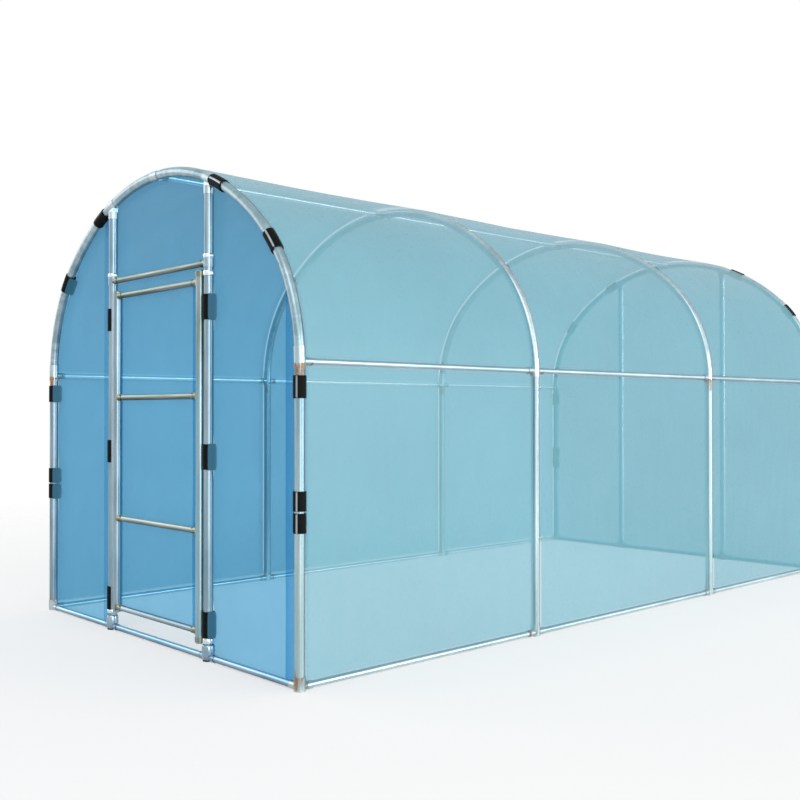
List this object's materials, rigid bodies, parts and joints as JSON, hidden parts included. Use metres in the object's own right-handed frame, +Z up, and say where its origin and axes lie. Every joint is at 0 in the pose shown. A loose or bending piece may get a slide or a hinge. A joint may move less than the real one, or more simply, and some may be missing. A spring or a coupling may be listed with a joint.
{
  "type": "polytunnel greenhouse",
  "caption": "Walk-in plastic greenhouse: round steel tube hoops on posts under a clipped-on film cover, with a hinged tube door in the front end.",
  "frame": {"origin": "middle of the footprint on the ground, midway between the front and back hoops and between the two rows of posts", "axes": "+Z up, +Y from the door end to the back end, +X to the right for someone who faces the door from outside"},
  "size_m": [2.0486, 4.0095, 1.9996],
  "materials": {
    "tube": "galvanised and polished, satin",
    "light_tube": "galvanised, satin",
    "fitting": "galvanised pressed steel, satin, a little rust",
    "film": "translucent blue-green plastic film",
    "end_film": "translucent blue plastic film",
    "clip": "black moulded plastic"
  },
  "bodies": {
    "tunnel": {"front_hoop": "tube", "front_middle_hoop": "tube", "back_middle_hoop": "tube", "back_hoop": "tube", "left_posts": "tube", "right_posts": "tube", "front_uprights": "tube", "back_uprights": "tube", "ridge_purlin": "light_tube", "left_purlin": "light_tube", "right_purlin": "light_tube", "front_base_tube": "light_tube", "back_base_tube": "light_tube", "left_base_tube": "light_tube", "right_base_tube": "light_tube", "door_header": "light_tube", "left_side_connectors": "fitting", "right_side_connectors": "fitting", "ridge_connectors": "fitting", "left_post_feet": "fitting", "right_post_feet": "fitting", "upright_feet": "fitting", "hoop_saddles": "fitting", "header_tees": "fitting", "upper_hinge_clamp": "fitting", "lower_hinge_clamp": "fitting", "left_wall_film": "film", "right_wall_film": "film", "left_roof_film": "film", "right_roof_film": "film", "crown_film": "film", "back_film": "film", "front_left_film": "end_film", "front_right_film": "end_film", "front_top_film": "end_film", "front_hoop_clips": "clip", "front_upright_clips": "clip", "back_hoop_clips": "clip"},
    "door": {"door_hinge_stile": "tube", "door_free_stile": "tube", "door_rails": "light_tube", "door_rail_saddles": "fitting", "door_stile_caps": "fitting", "door_film": "end_film"}
  },
  "joints": [
    {"name": "door_hinge", "type": "hinge", "parent": "tunnel", "child": "door", "pos_m": [0.3645, -1.9875, 0.8], "axis": [0, 0, 1], "range_deg": [0, 105]}
  ]
}
